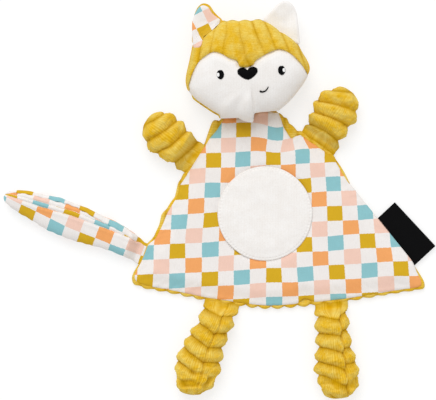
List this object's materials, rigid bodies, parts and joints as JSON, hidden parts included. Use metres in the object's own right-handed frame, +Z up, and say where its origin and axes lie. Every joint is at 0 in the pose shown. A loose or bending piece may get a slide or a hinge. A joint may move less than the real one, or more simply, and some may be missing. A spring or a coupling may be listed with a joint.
{
  "type": "comfort blanket lovey",
  "caption": "Flat checked comfort blanket with a stuffed fox head, ribbed plush arms and legs, a leaf-shaped tail and a round belly patch.",
  "frame": {"origin": "on the floor under the centre of the round belly patch, on the flat crest of the back's middle rib", "axes": "+Y to the head, +X to the side with the label, +Z up out of the face and belly; the toy lies on its back"},
  "size_m": [0.3293, 0.3026, 0.0391],
  "materials": {
    "mustard_plush": "jumbo corduroy plush with 10 mm ribs",
    "white_velour": "short soft velour",
    "check_print": "smooth velour printed with 12 mm checks in white, mustard, teal, orange and pink",
    "white_wadding": "polyester fibre",
    "black_thread": "satin-stitch embroidery",
    "white_thread": "satin-stitch embroidery",
    "black_ribbon": "woven ribbon, bare"
  },
  "bodies": {
    "body": {"body_back_panel": "mustard_plush", "body_wadding": "white_wadding", "body_front_panel": "check_print", "belly_patch": "white_velour"},
    "head": {"head_back_panel": "mustard_plush", "forehead_panel": "mustard_plush", "face_panel": "white_velour", "head_stuffing": "white_wadding", "left_eye": "black_thread", "left_eye_highlight": "white_thread", "right_eye": "black_thread", "right_eye_highlight": "white_thread", "nose": "black_thread", "smile": "black_thread"},
    "left_ear": {"left_ear_front": "check_print", "left_ear_back": "mustard_plush"},
    "right_ear": {"right_ear_front": "white_velour", "right_ear_back": "white_velour"},
    "left_arm": {"left_arm_cover": "mustard_plush", "left_arm_stuffing": "white_wadding"},
    "right_arm": {"right_arm_cover": "mustard_plush", "right_arm_stuffing": "white_wadding"},
    "left_leg": {"left_leg_cover": "mustard_plush", "left_leg_stuffing": "white_wadding"},
    "right_leg": {"right_leg_cover": "mustard_plush", "right_leg_stuffing": "white_wadding"},
    "tail": {"tail_front_panel": "check_print", "tail_back_panel": "check_print", "tail_stuffing": "white_wadding"},
    "label": {"side_label": "black_ribbon"}
  },
  "joints": [
    {"name": "neck_nod", "type": "hinge", "parent": "body", "child": "head", "pos_m": [-0.01274, 0.07524, 0.00215], "axis": [0.9961, 0.0885, 0], "range_deg": [-85, 45]},
    {"name": "left_ear_fold", "type": "hinge", "parent": "head", "child": "left_ear", "pos_m": [-0.04505, 0.13969, 0.016], "axis": [0.7856, 0.6187, 0], "range_deg": [-80, 80]},
    {"name": "right_ear_fold", "type": "hinge", "parent": "head", "child": "right_ear", "pos_m": [0.01356, 0.13986, 0.016], "axis": [0.8243, -0.5661, 0], "range_deg": [-80, 80]},
    {"name": "left_arm_swing", "type": "hinge", "parent": "body", "child": "left_arm", "pos_m": [-0.05479, 0.04248, 0.00215], "axis": [0.5356, 0.8445, 0], "range_deg": [-85, 85]},
    {"name": "right_arm_swing", "type": "hinge", "parent": "body", "child": "right_arm", "pos_m": [0.04111, 0.05469, 0.00215], "axis": [0.8071, -0.5904, 0], "range_deg": [-85, 85]},
    {"name": "left_leg_swing", "type": "hinge", "parent": "body", "child": "left_leg", "pos_m": [-0.03287, -0.06938, 0.00215], "axis": [-0.9885, 0.1512, 0], "range_deg": [-85, 85]},
    {"name": "right_leg_swing", "type": "hinge", "parent": "body", "child": "right_leg", "pos_m": [0.05081, -0.06961, 0.00215], "axis": [-0.993, -0.1178, 0], "range_deg": [-85, 85]},
    {"name": "tail_swing", "type": "hinge", "parent": "body", "child": "tail", "pos_m": [-0.09454, -0.03042, 0.00215], "axis": [0.3483, 0.9374, 0], "range_deg": [-85, 85]},
    {"name": "label_swing", "type": "hinge", "parent": "body", "child": "label", "pos_m": [0.10112, -0.01962, 0.00215], "axis": [0.6281, -0.7781, 0], "range_deg": [-85, 85]}
  ]
}
